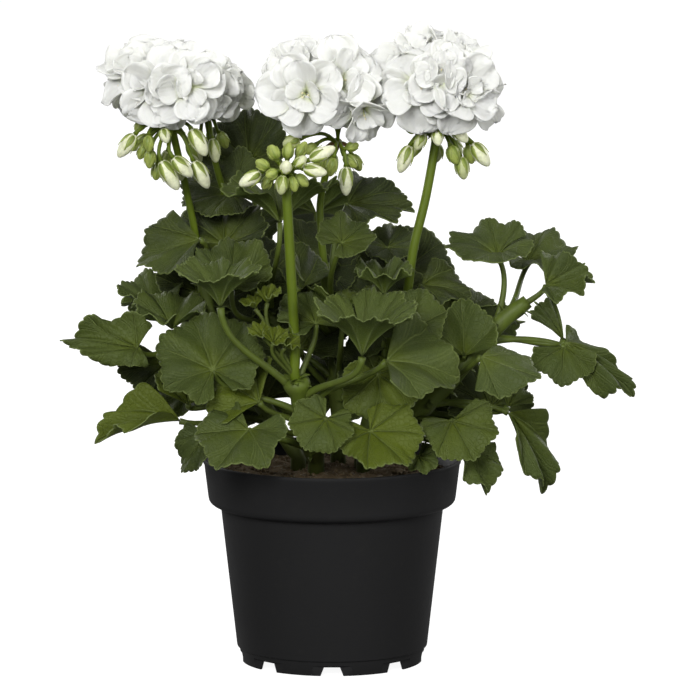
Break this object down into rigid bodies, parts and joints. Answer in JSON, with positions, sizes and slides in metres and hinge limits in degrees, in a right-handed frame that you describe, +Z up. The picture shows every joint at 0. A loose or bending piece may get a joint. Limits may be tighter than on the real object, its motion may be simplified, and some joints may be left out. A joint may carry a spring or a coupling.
{
  "type": "potted geranium",
  "caption": "White-flowered zonal geranium with dense round scalloped leaves and bud clusters, growing in a black tapered nursery pot.",
  "frame": {"origin": "middle of the pot's base, on the surface it stands on", "axes": "+Z up along the pot's axis; -Y is the front of the plant, +X its right as seen from the front"},
  "size_m": [0.2864, 0.187, 0.3207],
  "materials": {
    "pot": "satin black moulded plastic",
    "soil": "loose dark brown peat with pale fibres",
    "stem": "smooth light green stem",
    "flower_stalk": "smooth yellow-green stalk, with green buds",
    "petal": "soft matt white petal",
    "leaf": "matt downy green leaf with paler veins and underside"
  },
  "bodies": {
    "root": {"flower_head_left": "petal", "flower_head_left_back": "petal", "flower_head_middle": "petal", "flower_head_right": "petal", "flower_stalk_front": "flower_stalk", "flower_stalk_left": "flower_stalk", "flower_stalk_left_back": "flower_stalk", "flower_stalk_middle": "flower_stalk", "flower_stalk_right": "flower_stalk", "leaf_back_1": "leaf", "leaf_back_2": "leaf", "leaf_back_3": "leaf", "leaf_back_4": "leaf", "leaf_back_5": "leaf", "leaf_back_6": "leaf", "leaf_back_7": "leaf", "leaf_crown_1": "leaf", "leaf_crown_2": "leaf", "leaf_crown_3": "leaf", "leaf_crown_4": "leaf", "leaf_crown_5": "leaf", "leaf_crown_6": "leaf", "leaf_crown_7": "leaf", "leaf_front_1": "leaf", "leaf_front_2": "leaf", "leaf_front_3": "leaf", "leaf_front_4": "leaf", "leaf_front_5": "leaf", "leaf_front_6": "leaf", "leaf_front_7": "leaf", "leaf_front_8": "leaf", "leaf_left_1": "leaf", "leaf_left_2": "leaf", "leaf_left_3": "leaf", "leaf_left_4": "leaf", "leaf_left_5": "leaf", "leaf_left_6": "leaf", "leaf_left_7": "leaf", "leaf_left_8": "leaf", "leaf_middle_1": "leaf", "leaf_middle_2": "leaf", "leaf_middle_3": "leaf", "leaf_right_1": "leaf", "leaf_right_10": "leaf", "leaf_right_2": "leaf", "leaf_right_3": "leaf", "leaf_right_4": "leaf", "leaf_right_5": "leaf", "leaf_right_6": "leaf", "leaf_right_7": "leaf", "leaf_right_8": "leaf", "leaf_right_9": "leaf", "pot": "pot", "soil": "soil", "stem_back": "stem", "stem_back_left": "stem", "stem_centre": "stem", "stem_front": "stem", "stem_left": "stem", "stem_right": "stem"}
  },
  "joints": []
}
